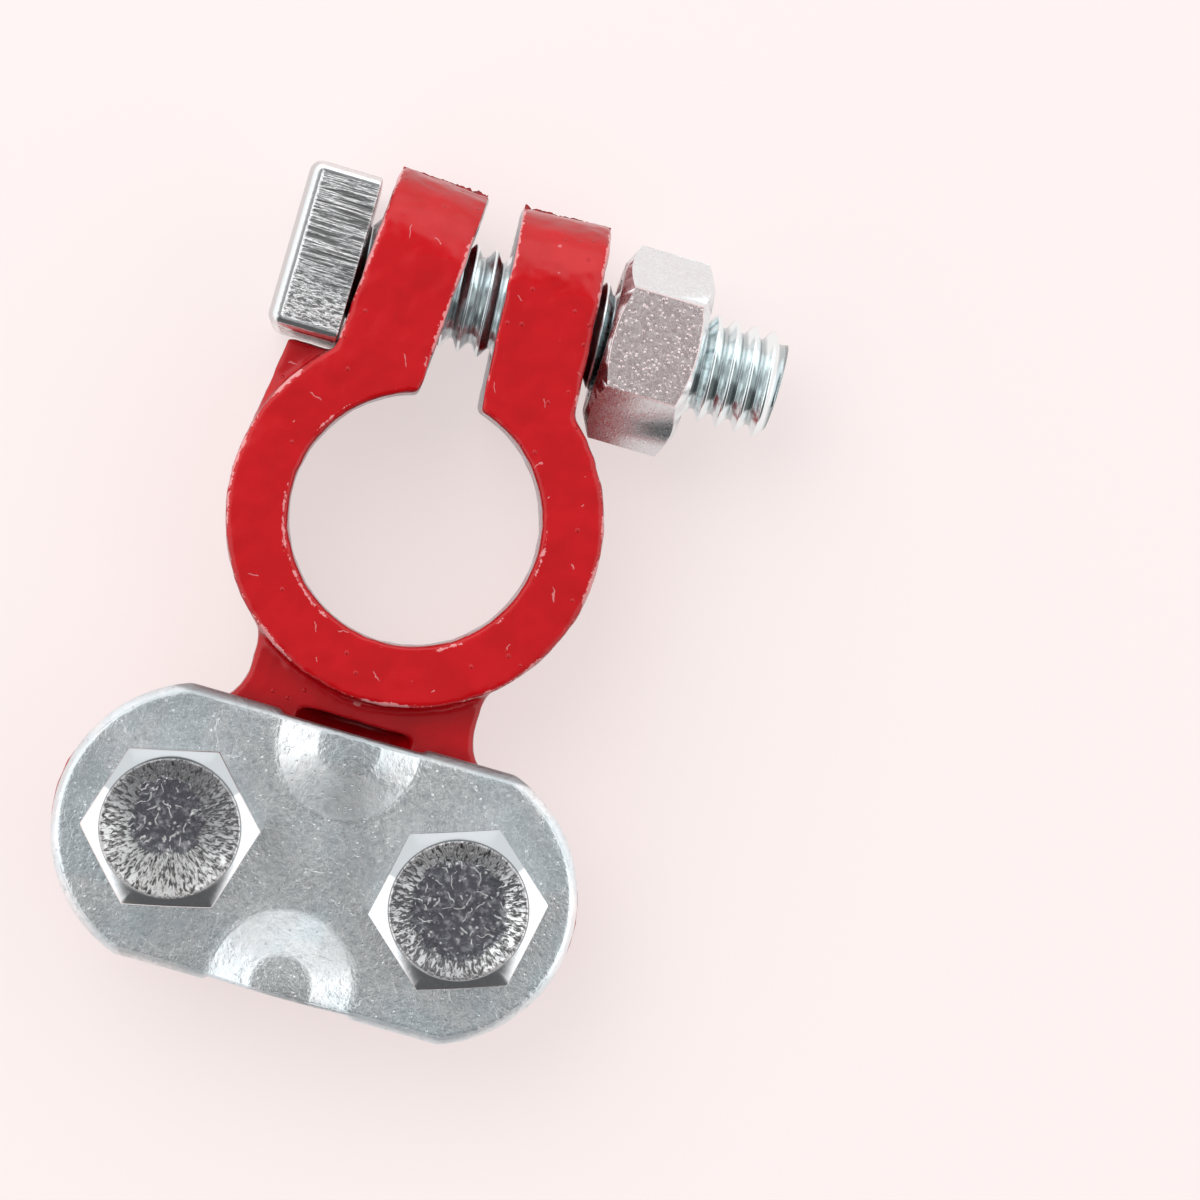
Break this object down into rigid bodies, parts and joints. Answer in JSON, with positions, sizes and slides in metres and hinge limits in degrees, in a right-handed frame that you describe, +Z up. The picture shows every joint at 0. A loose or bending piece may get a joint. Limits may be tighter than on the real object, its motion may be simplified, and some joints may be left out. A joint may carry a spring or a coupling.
{
  "type": "battery terminal clamp",
  "caption": "Top-post battery terminal clamp: painted split ring with a tapered bore, clamp bolt and nut across its ears, and a pressed plate that bolts a cable to its pad.",
  "frame": {"origin": "on the axis of the post bore, in the plane of the ring's underside", "axes": "+Z up along the post bore, +X along the clamp bolt from its head to its nut, +Y from the cable pad to the ears"},
  "size_m": [0.0422, 0.0605, 0.0159],
  "materials": {
    "red_paint": "gloss enamel on a zinc die casting",
    "zinc_sheet": "zinc-plated sheet, grained",
    "zinc_bolt": "bright zinc-plated steel"
  },
  "bodies": {
    "casting": {"clamp_body": "red_paint"},
    "plate": {"cable_plate": "zinc_sheet"},
    "left_screw": {"cable_bolt_left": "zinc_bolt"},
    "right_screw": {"cable_bolt_right": "zinc_bolt"},
    "bolt": {"clamp_bolt": "zinc_bolt"},
    "nut": {"clamp_nut": "zinc_bolt"}
  },
  "joints": [
    {"name": "bolt_slide", "type": "slide", "parent": "casting", "child": "bolt", "axis": [-1, 0, 0], "range_m": [0, 0.0056]},
    {"name": "nut_turn", "type": "hinge", "parent": "casting", "child": "nut", "pos_m": [0.0129, 0.0167, 0.0065], "axis": [1, 0, 0], "range_deg": [0, 1440]},
    {"name": "plate_lift", "type": "slide", "parent": "casting", "child": "plate", "axis": [0, 0, 1], "range_m": [0, 0.0063]},
    {"name": "left_screw_turn", "type": "hinge", "parent": "plate", "child": "left_screw", "pos_m": [-0.0106, -0.0258, 0.0139], "axis": [0, 0, 1], "range_deg": [0, 1800]},
    {"name": "right_screw_turn", "type": "hinge", "parent": "plate", "child": "right_screw", "pos_m": [0.0106, -0.0258, 0.0139], "axis": [0, 0, 1], "range_deg": [0, 1800]}
  ],
  "couplings": [
    {"joint": "nut_turn", "follows": "bolt_slide", "rad_per_m": 4452.9},
    {"joint": "left_screw_turn", "follows": "plate_lift", "rad_per_m": 4947.3},
    {"joint": "right_screw_turn", "follows": "plate_lift", "rad_per_m": 4947.3}
  ]
}
